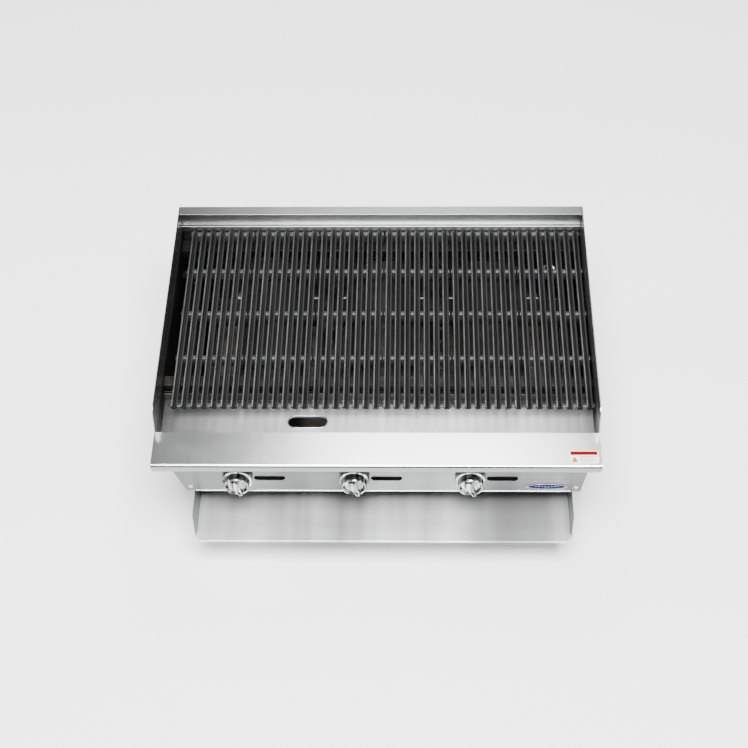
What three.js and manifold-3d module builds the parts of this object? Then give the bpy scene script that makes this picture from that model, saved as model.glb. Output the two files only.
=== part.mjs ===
// Countertop gas charbroiler, three burners, seven-bar cast-iron grates in six sections, drip tray drawn forward.
// Millimetres, +Z up, +X to the operator's right, front toward -Y.
// Depths are given as "b": distance behind the front edge of the work ledge; y(b) turns one into a Y coordinate.
import * as THREE from 'three';
import { mergeVertices } from 'three/addons/utils/BufferGeometryUtils.js';
import Module from 'manifold-3d';

const wasm = await Module();
wasm.setup();

// ---------- driving dimensions ----------
const WIDTH = 914.4;            // outside width of ledge and side walls
const DEPTH = 701;              // ledge front to back panel
const TOP = 400;                // top of side walls and splash above the table
const LEDGE_Z = 341;            // top of the work ledge
const BODY_Z = 100;             // underside of the body, leg height
const SHEET = 2;                // folded steel sheet
const THIN = 1.5;               // lighter sheet
const GAP = 0.3;                // clearance between neighbouring pieces
const CORE_X = 12;              // burners, grates, panel and tray sit this far right of the shell's middle

const LEDGE_DEPTH = 88;
const LEDGE_LIP = 24;
const LEDGE_NOSE = 9;           // radius of the rolled front edge
const KNEE_B = 107;             // where the side wall's top edge starts to fall to the ledge
const KNEE_R = 26;
const SHELF_Z = 216;            // side wall steps inward here
const LOWER_HALF = 413;         // half width of the lower body

const PANEL_B = 56;             // face of the control panel
const PANEL_HALF = 395.5;
const PANEL_FOOT = 184;         // lower edge of the control panel
const APRON_TOP_HALF = 448;     // end aprons: half width under the ledge, from the shell's middle

const GUTTER_B = [89.2, 225];
const GUTTER_Z = 281;
const GUTTER_SLOT = { x: -147, b: 164, length: 82, width: 31 };

const SPLASH_FLANGE = 26;       // top of the splash, front to back
const SPLASH_STEP_Z = 350;      // little shelf at the foot of the splash

const GRATE_X = 9.5;            // middle of the row of grates
const SECTIONS = 6;
const SECTION_PITCH = 148.3;
const BARS = 7;
const BAR_PITCH = 20.88;
const BAR_WIDTH = 14;
const BAR_RIDGE = 3.6;           // high cooking edge along the left of each bar
const BAR_LIP = 5.2;             // lower lip along its right
const BAR_LIP_DROP = 3.2;
const BAR_GROOVE = 9;
const GRATE_B = [158.5, 685.5];
const GRATE_Z = [312, 342];
const RIB_B = [165.5, 299.3, 429, 558.4, 677.5];
const RIB_HALF = 5.5;
const RIB_Z = [312, 336.5];
const END_RIB_Z = [332, 338];    // shallow end bar, over the gutter's edge
const TOE_B = 225;               // the underside rises from here to the front end
const BAR_BASE = 322;            // bars are shallow troughs, carried by the deeper ribs

const BURNER_X = [-292, -47, 195];  // valve, knob and inlet leg of each burner
const BURNER_SPAN = 106;            // inlet leg to return leg
const BURNER_R = 15;
const BURNER_Z = 233;
const BURNER_B = [134, 545];        // inlet end, start of the rear bend
const RETURN_B = 246;               // blind end of the return leg
const RADIANT_B = [242, 632];
const RADIANT_HALF = 74;
const RADIANT_Z = [262, 292];
const DIVIDER_OFFSET = 120;

const KNOB_R = 32;
const SLOT = { offset: 67, z: 229, length: 65, width: 16 };  // lighting slot right of each knob

const TRAY_HALF = 399;
const TRAY_B = [-8, 622];
const TRAY_Z = 104;
const TRAY_WALL = 75;
const TRAY_FRONT_WALL = 14;
const TRAY_PULL = 17;           // forward flange that serves as the handle

const LEG_X = 362;
const LEG_B = [176, 640];
const LEG_R = 19;
const FOOT_H = 14;

const INLET_B = 722;            // end of the gas inlet pipe, behind the body
const MANIFOLD = { b: 96, z: 200, r: 11, left: -345, right: 392 };

const MID_B = (TRAY_B[0] - TRAY_PULL + INLET_B) / 2;
const y = (b) => b - MID_B;
const OUT = WIDTH / 2;

// ---------- solids ----------
const toSolid = (geometry) => {
  const g = geometry.clone();
  g.deleteAttribute('normal');
  g.deleteAttribute('uv');
  const m = mergeVertices(g, 1e-4);
  return new wasm.Manifold(new wasm.Mesh({
    numProp: 3,
    vertProperties: new Float32Array(m.attributes.position.array),
    triVerts: new Uint32Array(m.index.array),
  }));
};

const box = (x0, x1, b0, b1, z0, z1) => {
  const g = new THREE.BoxGeometry(x1 - x0, b1 - b0, z1 - z0);
  g.translate((x0 + x1) / 2, y((b0 + b1) / 2), (z0 + z1) / 2);
  return toSolid(g);
};

const shapeOf = (points) => new THREE.Shape(points.map(([u, v]) => new THREE.Vector2(u, v)));

// profile of (b, z) points run along X
const alongX = (points, x0, x1) => {
  const g = new THREE.ExtrudeGeometry(shapeOf(points), { depth: x1 - x0, bevelEnabled: false });
  g.applyMatrix4(new THREE.Matrix4().set(0, 0, 1, x0, 1, 0, 0, -MID_B, 0, 1, 0, 0, 0, 0, 0, 1));
  return toSolid(g);
};

// profile of (x, z) points run along depth
const alongB = (shape, b0, b1) => {
  const outline = Array.isArray(shape) ? shapeOf(shape) : shape;
  const g = new THREE.ExtrudeGeometry(outline, { depth: b1 - b0, bevelEnabled: false, curveSegments: 6 });
  g.applyMatrix4(new THREE.Matrix4().set(1, 0, 0, 0, 0, 0, -1, y(b1), 0, 1, 0, 0, 0, 0, 0, 1));
  return toSolid(g);
};

// outline of (x, b) points raised through Z
const alongZ = (points, z0, z1) => {
  const g = new THREE.ExtrudeGeometry(shapeOf(points.map(([x, b]) => [x, y(b)])), {
    depth: z1 - z0, bevelEnabled: false });
  g.translate(0, 0, z0);
  return toSolid(g);
};

const rod = (axis, radius, from, to, at, sides = 16) => {
  const g = new THREE.CylinderGeometry(radius, radius, to - from, sides);
  if (axis === 'x') g.rotateZ(-Math.PI / 2);
  if (axis === 'z') g.rotateX(Math.PI / 2);
  const mid = (from + to) / 2;
  if (axis === 'x') g.translate(mid, y(at[0]), at[1]);
  if (axis === 'b') g.translate(at[0], y(mid), at[1]);
  if (axis === 'z') g.translate(at[0], y(at[1]), mid);
  return toSolid(g);
};

// closed band of thickness t laid on one side of an open run of points
const band = (points, t) => {
  const normals = points.slice(1).map(([u, v], i) => {
    const [a, c] = [u - points[i][0], v - points[i][1]];
    const len = Math.hypot(a, c);
    return [-c / len, a / len];
  });
  const shifted = points.map(([u, v], i) => {
    const n0 = normals[Math.max(0, i - 1)];
    const n1 = normals[Math.min(normals.length - 1, i)];
    const k = t / (1 + n0[0] * n1[0] + n0[1] * n1[1]);
    return [u + (n0[0] + n1[0]) * k, v + (n0[1] + n1[1]) * k];
  });
  return [...points, ...shifted.reverse()];
};

const oval = (cx, cz, length, width) => {
  const r = width / 2;
  const s = new THREE.Shape();
  s.moveTo(cx - length / 2 + r, cz - r);
  s.lineTo(cx + length / 2 - r, cz - r);
  s.absarc(cx + length / 2 - r, cz, r, -Math.PI / 2, Math.PI / 2, false);
  s.lineTo(cx - length / 2 + r, cz + r);
  s.absarc(cx - length / 2 + r, cz, r, Math.PI / 2, 1.5 * Math.PI, false);
  return s;
};

const union = (...parts) => parts.flat().reduce((a, b) => a.add(b));
const cut = (body, ...tools) => tools.flat().reduce((a, b) => a.subtract(b), body);

// ---------- materials and assembly ----------
const FINISH = {
  steel: { color: 0xc4c6c8, roughness: 0.32, metalness: 1 },
  steelDark: { color: 0x84878a, roughness: 0.5, metalness: 1 },
  castIron: { color: 0x2b2c2e, roughness: 0.62, metalness: 0.6 },
  chrome: { color: 0xe6e8ea, roughness: 0.1, metalness: 1 },
  brass: { color: 0xb89a50, roughness: 0.35, metalness: 1 },
  iron: { color: 0x33353a, roughness: 0.55, metalness: 0.8 },
  plastic: { color: 0x1d1e20, roughness: 0.5, metalness: 0 },
  blue: { color: 0x2b3f8c, roughness: 0.3, metalness: 0.1 },
  paper: { color: 0xf2f2ee, roughness: 0.7, metalness: 0 },
};

const group = new THREE.Group();
group.name = 'charbroiler';

const place = (name, solid, finish) => {
  const { vertProperties, triVerts } = solid.getMesh();
  const g = new THREE.BufferGeometry();
  g.setAttribute('position', new THREE.BufferAttribute(new Float32Array(vertProperties), 3));
  g.setIndex(new THREE.BufferAttribute(new Uint32Array(triVerts), 1));
  g.computeVertexNormals();
  const mesh = new THREE.Mesh(g, new THREE.MeshStandardMaterial(FINISH[finish]));
  mesh.name = name;
  group.add(mesh);
};

// ---------- shell ----------
const BACK_FACE = DEPTH - SHEET;   // front of the back panel
for (const side of [-1, 1]) {
  const name = side < 0 ? 'left' : 'right';
  const wallX = side * OUT;
  const lowX = CORE_X + side * LOWER_HALF;
  const span = (a, c) => [Math.min(a, c), Math.max(a, c)];
  const outline = [
    [LEDGE_DEPTH + GAP, SHELF_Z], [BACK_FACE - GAP, SHELF_Z], [BACK_FACE - GAP, TOP],
    ...[0, 14, 28, 42, 56, 68].map((deg) => {
      const a = (deg * Math.PI) / 180;
      return [KNEE_B + 12 - KNEE_R * Math.sin(a), TOP - KNEE_R * (1 - Math.cos(a))];
    }),
    [LEDGE_DEPTH + GAP, LEDGE_Z + 1],
  ];
  const low = [
    [PANEL_B + SHEET + GAP, SHELF_Z + SHEET], [PANEL_B + SHEET + GAP, PANEL_FOOT + 4], [140, BODY_Z],
    [BACK_FACE - GAP, BODY_Z], [BACK_FACE - GAP, SHELF_Z + SHEET],
  ];
  const shelf = box(...span(wallX, lowX), LEDGE_DEPTH + GAP, BACK_FACE - GAP, SHELF_Z, SHELF_Z + SHEET);
  const closure = box(...span(wallX, lowX), LEDGE_DEPTH + GAP, LEDGE_DEPTH + GAP + SHEET, SHELF_Z,
    GUTTER_Z - THIN - 2 * GAP);
  place(`side_panel_${name}`, union(
    alongX(outline, ...span(wallX, wallX - side * SHEET)),
    alongX(low, ...span(lowX, lowX - side * SHEET)),
    shelf,
    closure,
  ), 'steel');

  // end apron: sloping cheek under the ledge beside the control panel
  const topX = side * APRON_TOP_HALF;
  const footX = CORE_X + side * (LOWER_HALF + 2);
  const seamX = CORE_X + side * (PANEL_HALF + GAP);
  const head = LEDGE_Z - LEDGE_LIP - GAP;
  const foot = PANEL_FOOT + 1;
  const face = [[topX, head], [footX, foot], [seamX, foot], [seamX, head]];
  const cheek = [[topX, head], [footX, foot], [footX - side * SHEET, foot], [topX - side * SHEET, head]];
  place(`apron_end_${name}`, cut(
    union(alongB(face, PANEL_B, PANEL_B + SHEET), alongB(cheek, PANEL_B, LEDGE_DEPTH)),
    box(...span(lowX + side * GAP, lowX - side * (SHEET + GAP)), PANEL_B + SHEET, LEDGE_DEPTH, foot - 1,
      SHELF_Z + SHEET + GAP),
  ), 'steel');
}

// work ledge: folded box, open below, with a rolled front edge and rounded lower corners
{
  const nose = (inset, depthIn) => {
    const r = LEDGE_NOSE - inset;
    const top = LEDGE_Z - inset;
    const low = LEDGE_Z - LEDGE_LIP + inset;
    const arc = (cb, cz, a0, a1) => [0, 1, 2, 3, 4].map((i) => {
      const a = a0 + ((a1 - a0) * i) / 4;
      return [cb + r * Math.cos(a), cz + r * Math.sin(a)];
    });
    return [
      [LEDGE_DEPTH - depthIn, top],
      ...arc(inset + r, top - r, Math.PI / 2, Math.PI),
      ...arc(inset + r, low + r, Math.PI, 1.5 * Math.PI),
      [LEDGE_DEPTH - depthIn, low],
    ];
  };
  const hollow = alongX(nose(SHEET, SHEET), -OUT + SHEET, OUT - SHEET);
  const mouth = box(-OUT + 22, OUT - 22, 20, LEDGE_DEPTH - 6, LEDGE_Z - LEDGE_LIP - 5, LEDGE_Z - LEDGE_LIP + 5);
  const corner = (side) => alongB([
    [side * (OUT + 1), LEDGE_Z - LEDGE_LIP - 1], [side * (OUT + 1), LEDGE_Z - LEDGE_LIP + 13],
    [side * OUT, LEDGE_Z - LEDGE_LIP + 13], [side * (OUT - 3), LEDGE_Z - LEDGE_LIP + 6],
    [side * (OUT - 9), LEDGE_Z - LEDGE_LIP], [side * (OUT - 9), LEDGE_Z - LEDGE_LIP - 1],
  ], -1, LEDGE_DEPTH + 1);
  const outer = cut(alongX(nose(0, 0), -OUT, OUT), corner(-1), corner(1));
  const inner = hollow.intersect(cut(
    box(-OUT + SHEET, OUT - SHEET, 0, LEDGE_DEPTH, LEDGE_Z - LEDGE_LIP, LEDGE_Z),
    box(-OUT, -OUT + 12, 0, LEDGE_DEPTH, 0, LEDGE_Z - LEDGE_LIP + 14),
    box(OUT - 12, OUT, 0, LEDGE_DEPTH, 0, LEDGE_Z - LEDGE_LIP + 14),
  ));
  place('front_ledge', cut(outer, inner, mouth), 'steel');
}

// grease gutter across the front, between the ledge and the fire box
{
  const half = OUT - SHEET - GAP;
  const [b0, b1] = GUTTER_B;
  const s = GUTTER_SLOT;
  const outline = band([[b0 + THIN, LEDGE_Z - 4], [b0 + THIN, GUTTER_Z], [b1 - THIN, GUTTER_Z], [b1 - THIN, 303]], -THIN);
  const strips = [-1, 1].map((side) => {
    const [x0, x1] = side < 0 ? [-half, -half + 21] : [half - 21, half];
    return box(x0, x1, b0 + THIN, b1 - THIN, GUTTER_Z - 0.5, GUTTER_Z + 2);
  });
  const hole = new THREE.Path(oval(s.x, y(s.b), s.length, s.width).getPoints(6));
  const tool = new THREE.ExtrudeGeometry(new THREE.Shape(hole.getPoints()), { depth: 12, bevelEnabled: false });
  tool.translate(0, 0, GUTTER_Z - 6);
  place('grease_gutter', cut(union(alongX(outline, -half, half), strips), toSolid(tool)), 'steel');
}

// control panel with three stem holes and three lighting slots
{
  const [x0, x1] = [CORE_X - PANEL_HALF, CORE_X + PANEL_HALF];
  const head = LEDGE_Z - LEDGE_LIP - GAP;
  const shell = cut(
    box(x0, x1, PANEL_B, PANEL_B + 14, PANEL_FOOT, head),
    box(x0 + THIN, x1 - THIN, PANEL_B + THIN, PANEL_B + 20, PANEL_FOOT + THIN, head - THIN),
  );
  const holes = BURNER_X.flatMap((x) => [
    rod('b', 7, PANEL_B - 5, PANEL_B + 8, [x, BURNER_Z]),
    alongB(oval(x + SLOT.offset, SLOT.z, SLOT.length, SLOT.width), PANEL_B - 5, PANEL_B + 8),
  ]);
  place('control_panel', cut(shell, holes), 'steel');
}

// back panel with the gas inlet hole
place('back_panel', cut(
  union(
    box(-OUT, OUT, BACK_FACE, DEPTH, SHELF_Z, TOP - 4),
    box(CORE_X - LOWER_HALF, CORE_X + LOWER_HALF, BACK_FACE, DEPTH, BODY_Z, SHELF_Z + 1),
  ),
  rod('b', MANIFOLD.r + 3, BACK_FACE - 5, DEPTH + 5, [MANIFOLD.right, MANIFOLD.z]),
  [-300, -150, 0, 150, 300].map((x) => box(x - 40, x + 40, BACK_FACE - 5, DEPTH + 5, 256, 264)),
), 'steel');

// splash: hooked top with a face that leans back to a small shelf
{
  const back = BACK_FACE - GAP;
  const rear = [[back, 300], [back, TOP], [back - SPLASH_FLANGE, TOP], [back - 4.5, SPLASH_STEP_Z],
    [back - 12.5, SPLASH_STEP_Z], [back - 12.5, SPLASH_STEP_Z - 16]];
  place('backsplash', alongX(band(rear, THIN), -OUT + SHEET + GAP, OUT - SHEET - GAP), 'steel');
}

// ---------- lower frame, legs and tray ----------
const RAIL_IN = 50;
for (const side of [-1, 1]) {
  const name = side < 0 ? 'left' : 'right';
  const wall = CORE_X + side * (LOWER_HALF - SHEET - GAP);
  const order = (a, c) => [Math.min(a, c), Math.max(a, c)];
  const lip = (TRAY_HALF + 4);
  place(`tray_rail_${name}`, union(
    box(...order(wall, wall - side * RAIL_IN), 145, BACK_FACE - GAP, BODY_Z, BODY_Z + SHEET),
    box(...order(wall, CORE_X + side * lip), 145, BACK_FACE - GAP, BODY_Z, BODY_Z + 22),
  ), 'steelDark');
}
for (const [name, b0, b1] of [['front', 150, 195], ['rear', 645, 690]]) {
  const half = LOWER_HALF - SHEET - GAP - RAIL_IN - GAP;
  place(`base_bar_${name}`, box(CORE_X - half, CORE_X + half, b0, b1, BODY_Z, BODY_Z + SHEET), 'steelDark');
}

LEG_B.forEach((b, row) => [-1, 1].forEach((side) => {
  const tag = `${row ? 'rear' : 'front'}_${side < 0 ? 'left' : 'right'}`;
  const x = CORE_X + side * LEG_X;
  place(`leg_${tag}`, cut(
    union(
      box(x - 33, x + 33, b - 33, b + 33, BODY_Z - GAP - 3, BODY_Z - GAP),
      rod('z', LEG_R, FOOT_H + 1, BODY_Z - GAP - 1, [x, b]),
    ),
    rod('z', 8.3, 0, 70, [x, b], 12),
  ), 'steel');
  place(`foot_${tag}`, union(
    rod('z', LEG_R - 1, 0, FOOT_H, [x, b]),
    rod('z', 8, FOOT_H - 1, 62, [x, b], 12),
  ), 'plastic');
}));

{
  const [b0, b1] = TRAY_B;
  const [x0, x1] = [CORE_X - TRAY_HALF, CORE_X + TRAY_HALF];
  const pan = cut(
    box(x0, x1, b0, b1, TRAY_Z, TRAY_Z + TRAY_WALL),
    box(x0 + THIN, x1 - THIN, b0 + THIN, b1 - THIN, TRAY_Z + THIN, TRAY_Z + TRAY_WALL + 5),
    box(x0 + THIN, x1 - THIN, b0 - 5, b0 + THIN + 1, TRAY_Z + TRAY_FRONT_WALL, TRAY_Z + TRAY_WALL + 5),
  );
  const rim = TRAY_Z + TRAY_FRONT_WALL;
  const pull = alongZ([
    [x0 + 1, b0 + 1], [x0 + 1, b0 - 6], [x0 + 12, b0 - TRAY_PULL], [x1 - 12, b0 - TRAY_PULL], [x1 - 1, b0 - 6],
    [x1 - 1, b0 + 1],
  ], rim - THIN, rim);
  const hem = box(x0 + 12, x1 - 12, b0 - TRAY_PULL, b0 - TRAY_PULL + THIN, rim - 6, rim - 0.5);
  place('drip_tray', union(pan, pull, hem), 'steel');
}

// ---------- grates ----------
for (let i = 0; i < SECTIONS; i += 1) {
  const cx = GRATE_X + (i - (SECTIONS - 1) / 2) * SECTION_PITCH;
  const reach = (BARS - 1) / 2 * BAR_PITCH + BAR_WIDTH / 2 + 3.6;
  const w = BAR_WIDTH / 2;
  const blade = [
    [-w, BAR_BASE], [w, BAR_BASE], [w, GRATE_Z[1] - BAR_LIP_DROP], [w - BAR_LIP, GRATE_Z[1] - BAR_LIP_DROP],
    [-w + BAR_RIDGE, GRATE_Z[1] - BAR_LIP_DROP], [-w + BAR_RIDGE, GRATE_Z[1]], [-w, GRATE_Z[1]],
  ];
  const groove = [
    [-w + BAR_RIDGE, GRATE_Z[1] - BAR_LIP_DROP + 1], [w - BAR_LIP, GRATE_Z[1] - BAR_LIP_DROP + 1],
    [w - BAR_LIP, GRATE_Z[1] - BAR_LIP_DROP], [-w + BAR_RIDGE + 1.6, GRATE_Z[1] - BAR_GROOVE],
    [-w + BAR_RIDGE + 0.8, GRATE_Z[1] - BAR_GROOVE],
  ];
  const across = (section, ends) => union(Array.from({ length: BARS }, (_, j) => {
    const x = cx + (j - (BARS - 1) / 2) * BAR_PITCH;
    return alongB(section.map(([u, v]) => [x + u, v]), ...ends);
  }));
  const ribs = RIB_B.map((b, k) => box(cx - reach, cx + reach, b - RIB_HALF, b + RIB_HALF, ...(k ? RIB_Z : END_RIB_Z)));
  const toe = alongX([
    [GRATE_B[0] - 5, BAR_BASE - 5], [TOE_B, BAR_BASE - 5], [TOE_B, BAR_BASE], [GRATE_B[0], END_RIB_Z[0]],
    [GRATE_B[0] - 5, END_RIB_Z[0]],
  ], cx - reach - 5, cx + reach + 5);
  place(`grate_${i + 1}`, cut(union(across(blade, GRATE_B), ribs), toe, across(groove, [GRATE_B[0] - 5, GRATE_B[1] + 5])), 'castIron');
}

// ---------- supports inside the fire box ----------
const WALL_IN = OUT - SHEET - GAP;
place('grate_rest_front', union(
  box(-WALL_IN, WALL_IN, 232, 236, 268, BAR_BASE - GAP),
  box(-WALL_IN, WALL_IN, 232, 258, BAR_BASE - GAP - 3, BAR_BASE - GAP),
), 'steelDark');
place('grate_rest_rear', union(
  box(-WALL_IN, WALL_IN, 646, 680, GRATE_Z[0] - GAP - 3, GRATE_Z[0] - GAP),
  box(-WALL_IN, WALL_IN, 646, 649, GRATE_Z[0] - 22, GRATE_Z[0] - GAP),
), 'steelDark');

const fireBox = cut(
  box(-WALL_IN, WALL_IN, 227, 229, SHELF_Z + SHEET + GAP, 306),
  BURNER_X.flatMap((x) => [
    rod('b', BURNER_R + 3, 220, 235, [x, BURNER_Z]),
    rod('b', 6, 220, 235, [x + BURNER_SPAN / 2, BURNER_Z], 16),
  ]),
);
place('fire_box_front', fireBox, 'steelDark');

const lowIn = [CORE_X - LOWER_HALF + SHEET + GAP, CORE_X + LOWER_HALF - SHEET - GAP];
for (const [name, b] of [['front', 262], ['rear', 520]]) {
  const top = BURNER_Z - BURNER_R - GAP;
  place(`burner_rest_${name}`, cut(
    union(box(...lowIn, b, b + 3, top - 25, top), box(...lowIn, b, b + 20, top - 3, top)),
    box(MANIFOLD.right - 15, MANIFOLD.right + 15, b - 1, b + 4, top - 30, MANIFOLD.z + MANIFOLD.r + 2),
  ), 'steelDark');
}
for (const [name, b] of [['front', RADIANT_B[0] + 2], ['rear', RADIANT_B[1] - 22]]) {
  const top = RADIANT_Z[0] - GAP;
  place(`radiant_rest_${name}`, union(
    box(-WALL_IN, WALL_IN, b, b + 20, top - 3, top), box(-WALL_IN, WALL_IN, b, b + 3, top - 10, top),
  ), 'steelDark');
}

// perforated covers over the gaps between the burners
[-1, 1].forEach((side) => {
  const x = CORE_X + side * DIVIDER_OFFSET;
  const skin = cut(
    box(x - 20, x + 20, RADIANT_B[0] + 6, RADIANT_B[1] - 2, RADIANT_Z[0], RADIANT_Z[0] + 20),
    box(x - 20 + SHEET, x + 20 - SHEET, RADIANT_B[0], RADIANT_B[1] + 5, RADIANT_Z[0] - 1, RADIANT_Z[0] + 18),
  );
  const holes = Array.from({ length: 9 }, (_, i) => {
    const b = RADIANT_B[0] + 40 + i * 38;
    return box(x - 7, x + 7, b - 7, b + 7, RADIANT_Z[0] + 10, RADIANT_Z[0] + 25);
  });
  place(`divider_${side < 0 ? 'left' : 'right'}`, cut(skin, holes), 'steelDark');
});

// ---------- gas train ----------
// straight runs between given points, one ring of the pipe at each
class Route extends THREE.Curve {
  constructor(points) {
    super();
    this.points = points.map(([x, b, z]) => new THREE.Vector3(x, y(b), z));
  }

  getPoint(t, target = new THREE.Vector3()) {
    const k = t * (this.points.length - 1);
    const i = Math.min(Math.floor(k), this.points.length - 2);
    return target.lerpVectors(this.points[i], this.points[i + 1], k - i);
  }

  getUtoTmapping(u) {
    return u;
  }
}

const pipe = (points, r, sides) => {
  const ring = shapeOf(Array.from({ length: sides }, (_, i) => {
    const a = (2 * Math.PI * i) / sides;
    return [r * Math.cos(a), r * Math.sin(a)];
  }));
  return toSolid(new THREE.ExtrudeGeometry(ring, {
    steps: points.length - 1, bevelEnabled: false, extrudePath: new Route(points) }));
};

const arcPoints = (count, a0, a1, at) => Array.from({ length: count + 1 }, (_, i) => {
  const a = a0 + ((a1 - a0) * i) / count;
  return at(Math.cos(a), Math.sin(a));
});

place('gas_manifold', union(
  rod('x', MANIFOLD.r, MANIFOLD.left, MANIFOLD.right + 1, [MANIFOLD.b, MANIFOLD.z], 12),
  rod('b', MANIFOLD.r, MANIFOLD.b, INLET_B, [MANIFOLD.right, MANIFOLD.z], 12),
  rod('b', MANIFOLD.r + 4, MANIFOLD.b - MANIFOLD.r - 4, MANIFOLD.b + 20, [MANIFOLD.right, MANIFOLD.z], 12),
), 'iron');

BURNER_X.forEach((x, i) => {
  const n = i + 1;
  const shutter = cut(
    rod('b', BURNER_R + 4, BURNER_B[0], BURNER_B[0] + 30, [x, BURNER_Z]),
    rod('b', BURNER_R, BURNER_B[0] - 5, BURNER_B[0] + 20, [x, BURNER_Z]),
  );
  const half = BURNER_SPAN / 2;
  const mid = x + half;
  const loop = [
    [x, BURNER_B[0] + 22, BURNER_Z],
    ...arcPoints(8, Math.PI, 0, (c, k) => [mid + half * c, BURNER_B[1] + half * k, BURNER_Z]),
    [x + BURNER_SPAN, RETURN_B, BURNER_Z],
  ];
  place(`burner_${n}`, union(pipe(loop, BURNER_R, 12), shutter), 'steelDark');

  const [e0, e1] = [RADIANT_Z[0], RADIANT_Z[1]];
  const roof = band([
    [mid - RADIANT_HALF, e0], [mid - 20, e1 - 4], [mid + 20, e1 - 4], [mid + RADIANT_HALF, e0],
  ], 4);
  place(`radiant_${n}`, alongB(roof.map(([u, v]) => [u, Math.max(v, e0)]), ...RADIANT_B), 'castIron');

  const top = MANIFOLD.z + MANIFOLD.r;
  place(`gas_valve_${n}`, union(
    box(x - 15, x + 15, 82, 112, 219, 249),
    rod('b', 11, 74, 84, [x, BURNER_Z]),
    rod('b', 6, 110, 136, [x, BURNER_Z], 16),
    rod('z', 8, top + GAP, 221, [x, MANIFOLD.b], 16),
  ), 'brass');

  const grip = alongB([
    [x - 8, BURNER_Z - 29], [x + 8, BURNER_Z - 29], [x + 8, BURNER_Z + 20], [x + 4, BURNER_Z + 27],
    [x - 4, BURNER_Z + 27], [x - 8, BURNER_Z + 20],
  ], 22, 42);
  place(`knob_${n}`, union(
    rod('b', KNOB_R, 40, 53, [x, BURNER_Z], 24),
    rod('b', KNOB_R - 4, 36, 42, [x, BURNER_Z], 24),
    grip,
    rod('b', 4, 50, 73.5, [x, BURNER_Z], 16),
  ), 'chrome');

  place(`pilot_${n}`, union(
    pipe([
      [mid, MANIFOLD.b, top + GAP],
      ...arcPoints(3, Math.PI, Math.PI / 2, (c, k) => [mid, MANIFOLD.b + 10 + 10 * c, BURNER_Z - 10 + 10 * k]),
      ...arcPoints(3, -Math.PI / 2, 0, (c, k) => [mid, 282 + 10 * c, BURNER_Z + 10 + 10 * k]),
      [mid, 292, 246],
    ], 3, 8),
    rod('z', 6, 244, 254, [mid, 292], 12),
  ), 'brass');
});

// ---------- trim ----------
place('badge', alongB(oval(356, 203, 86, 17), PANEL_B - GAP - 1, PANEL_B - GAP), 'blue');
place('rating_label', box(392, 451, 9, 42, LEDGE_Z + 0.1, LEDGE_Z + 0.5), 'paper');

export default group;
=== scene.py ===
# Countertop gas charbroiler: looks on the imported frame. Metres, +Z up, front toward -Y.
import math

import bmesh
import bpy
from mathutils import Matrix, Vector


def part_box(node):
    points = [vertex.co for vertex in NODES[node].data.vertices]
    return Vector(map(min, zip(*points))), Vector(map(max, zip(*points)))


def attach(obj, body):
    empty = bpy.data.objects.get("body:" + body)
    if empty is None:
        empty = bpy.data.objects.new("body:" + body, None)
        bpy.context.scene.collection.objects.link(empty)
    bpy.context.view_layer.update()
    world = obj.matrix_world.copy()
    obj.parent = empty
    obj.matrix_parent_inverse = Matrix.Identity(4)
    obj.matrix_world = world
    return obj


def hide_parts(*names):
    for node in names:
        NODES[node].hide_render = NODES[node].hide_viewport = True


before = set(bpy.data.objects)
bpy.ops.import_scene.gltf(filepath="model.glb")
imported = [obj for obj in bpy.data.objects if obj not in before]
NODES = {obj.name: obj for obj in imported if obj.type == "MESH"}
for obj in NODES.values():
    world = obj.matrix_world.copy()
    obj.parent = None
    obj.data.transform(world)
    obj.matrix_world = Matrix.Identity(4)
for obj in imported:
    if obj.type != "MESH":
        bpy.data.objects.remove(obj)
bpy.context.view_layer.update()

# ---------- driving sizes ----------
LEDGE_FRONT = -0.3485   # y of the work ledge's front edge; a depth is measured back from it
BACK_DEPTH = 0.701      # depth of the back panel's outer face
CORE_X = 0.012          # panel, tray and lower body sit this far right of the shell's middle
SHELL_SKIN = 0.4562     # half width to 1 mm inside the upper side walls' outer faces
BODY_SKIN = 0.412       # the same for the lower body, from CORE_X
STEP_Z = 0.2168         # just above the shelf where the side walls step inward
GRATES = tuple(f"grate_{i}" for i in range(1, 7))


def at_depth(depth):
    """y of a point that lies depth behind the ledge's front edge."""
    return depth + LEDGE_FRONT


# ---------- camera ----------
def look(az, el, roll):
    """Rotation of a camera that looks along azimuth az, down by el, rolled by roll."""
    d = Vector((-math.sin(az) * math.cos(el), math.cos(az) * math.cos(el), -math.sin(el)))
    right = Vector((math.cos(az), math.sin(az), 0))
    up = right.cross(d)
    r = right * math.cos(roll) + up * math.sin(roll)
    u = up * math.cos(roll) - right * math.sin(roll)
    return Matrix((r, u, -d)).transposed()


cam = bpy.data.objects.new("camera", bpy.data.cameras.new("camera"))
bpy.context.scene.collection.objects.link(cam)
cam.data.sensor_width = 36
cam.data.lens = 80.19
cam.rotation_mode = "QUATERNION"
cam.rotation_quaternion = look(*map(math.radians, (2.178, 48.989, -1.579))).to_quaternion()
cam.location = (0.0805, -2.4119, 3.0001)
cam.data.clip_end = 60
bpy.context.scene.camera = cam


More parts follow.
